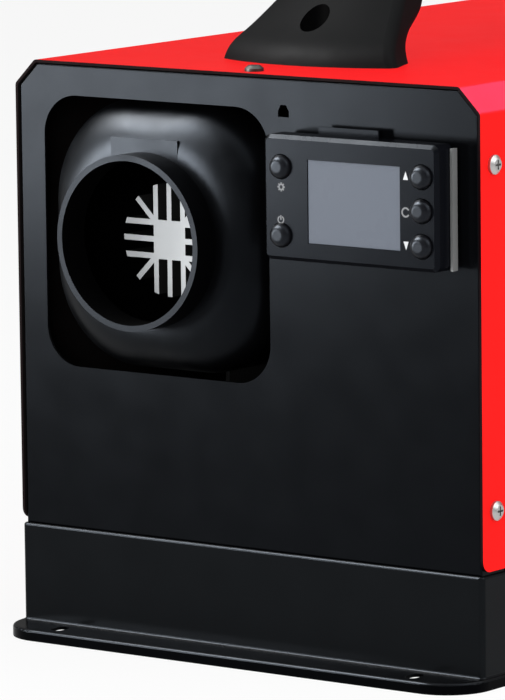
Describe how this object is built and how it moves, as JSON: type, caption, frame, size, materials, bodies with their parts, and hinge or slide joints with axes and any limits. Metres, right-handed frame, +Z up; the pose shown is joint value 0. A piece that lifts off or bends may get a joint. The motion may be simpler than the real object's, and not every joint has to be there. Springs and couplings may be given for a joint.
{
  "type": "diesel forced air heater",
  "caption": "Portable diesel air heater: red steel case on a black base, round hot-air outlet, controller with buttons, carry handle and fuel filler.",
  "frame": {"origin": "on the floor, at the middle of the base plate", "axes": "+Z up, +Y to the back, +X to the right seen from the front"},
  "size_m": [0.2448, 0.44, 0.3002],
  "materials": {
    "shell_red": "gloss red powder coat",
    "panel_black": "satin black powder coat",
    "base_black": "satin black powder coat",
    "handle_plastic": "fine moulded grain",
    "hood_plastic": "smooth moulded black",
    "exchanger_aluminium": "as cast and machined",
    "screw_zinc": "bright zinc",
    "bracket_zinc": "zinc-plated sheet",
    "controller_plastic": "smooth black",
    "button_plastic": "satin black",
    "display_grey": "clear window over a blank display",
    "lcd_module": "display module",
    "circuit_green": "circuit board",
    "burner_steel": "heat-resistant steel",
    "fan_plastic": "moulded",
    "seal_rubber": "rubber",
    "tank_plastic": "translucent white",
    "pin_brass": "bright"
  },
  "bodies": {
    "case": {"base_box": "base_black", "base_deck": "base_black", "base_plate": "base_black", "base_rear": "base_black", "blower_cover": "exchanger_aluminium", "blower_housing": "exchanger_aluminium", "blower_motor": "burner_steel", "bracket_screws": "screw_zinc", "burner_tube": "burner_steel", "carry_handle": "handle_plastic", "control_unit": "fan_plastic", "controller_back_shell": "controller_plastic", "controller_bezel": "controller_plastic", "controller_board": "circuit_green", "controller_bracket": "bracket_zinc", "controller_cable": "seal_rubber", "controller_pad": "seal_rubber", "exhaust_pipe": "burner_steel", "filler_grommet": "seal_rubber", "filler_neck": "tank_plastic", "front_panel": "panel_black", "fuel_filter": "tank_plastic", "fuel_lines": "seal_rubber", "fuel_pump": "exchanger_aluminium", "fuel_tank": "tank_plastic", "glow_plug": "burner_steel", "handle_nuts": "screw_zinc", "handle_screws": "screw_zinc", "heat_exchanger": "exchanger_aluminium", "heater_bracket": "bracket_zinc", "heater_gasket": "seal_rubber", "heater_lower_case": "hood_plastic", "heater_studs": "screw_zinc", "heater_upper_case": "hood_plastic", "hose_clamps": "bracket_zinc", "inlet_duct": "seal_rubber", "inlet_grille": "hood_plastic", "intake_hose": "seal_rubber", "lcd_module": "lcd_module", "lcd_window": "display_grey", "outer_shell": "shell_red", "outlet_hood": "hood_plastic", "power_socket": "fan_plastic", "pump_clamp": "seal_rubber", "rear_frame": "panel_black", "rear_panel": "panel_black", "shell_screws": "screw_zinc", "socket_pins": "pin_brass", "tank_straps": "bracket_zinc"},
    "rotor": {"motor_shaft": "burner_steel", "air_fan_wheel": "fan_plastic", "combustion_impeller": "fan_plastic"},
    "cap": {"fuel_cap": "fan_plastic", "fuel_cap_seal": "seal_rubber"},
    "plunger": {"pump_plunger": "burner_steel"},
    "settings_button": {"settings_button": "button_plastic"},
    "power_button": {"power_button": "button_plastic"},
    "up_button": {"up_button": "button_plastic"},
    "ok_button": {"ok_button": "button_plastic"},
    "down_button": {"down_button": "button_plastic"}
  },
  "joints": [
    {"name": "fan_spin", "type": "hinge", "parent": "case", "child": "rotor", "pos_m": [-0.0463, 0.1, 0.1722], "axis": [0, 1, 0], "continuous": true},
    {"name": "settings_press", "type": "slide", "parent": "case", "child": "settings_button", "axis": [0, 1, 0], "range_m": [0, 0.0012], "stiffness_N_per_m": 800},
    {"name": "power_press", "type": "slide", "parent": "case", "child": "power_button", "axis": [0, 1, 0], "range_m": [0, 0.0012], "stiffness_N_per_m": 800},
    {"name": "up_press", "type": "slide", "parent": "case", "child": "up_button", "axis": [0, 1, 0], "range_m": [0, 0.0012], "stiffness_N_per_m": 800},
    {"name": "ok_press", "type": "slide", "parent": "case", "child": "ok_button", "axis": [0, 1, 0], "range_m": [0, 0.0012], "stiffness_N_per_m": 800},
    {"name": "down_press", "type": "slide", "parent": "case", "child": "down_button", "axis": [0, 1, 0], "range_m": [0, 0.0012], "stiffness_N_per_m": 800},
    {"name": "cap_turn", "type": "hinge", "parent": "case", "child": "cap", "pos_m": [0.0675, 0.134, 0.26], "axis": [0, 0, 1], "range_deg": [0, 90]},
    {"name": "plunger_stroke", "type": "slide", "parent": "case", "child": "plunger", "axis": [0, 1, 0], "range_m": [0, 0.003], "stiffness_N_per_m": 600}
  ]
}
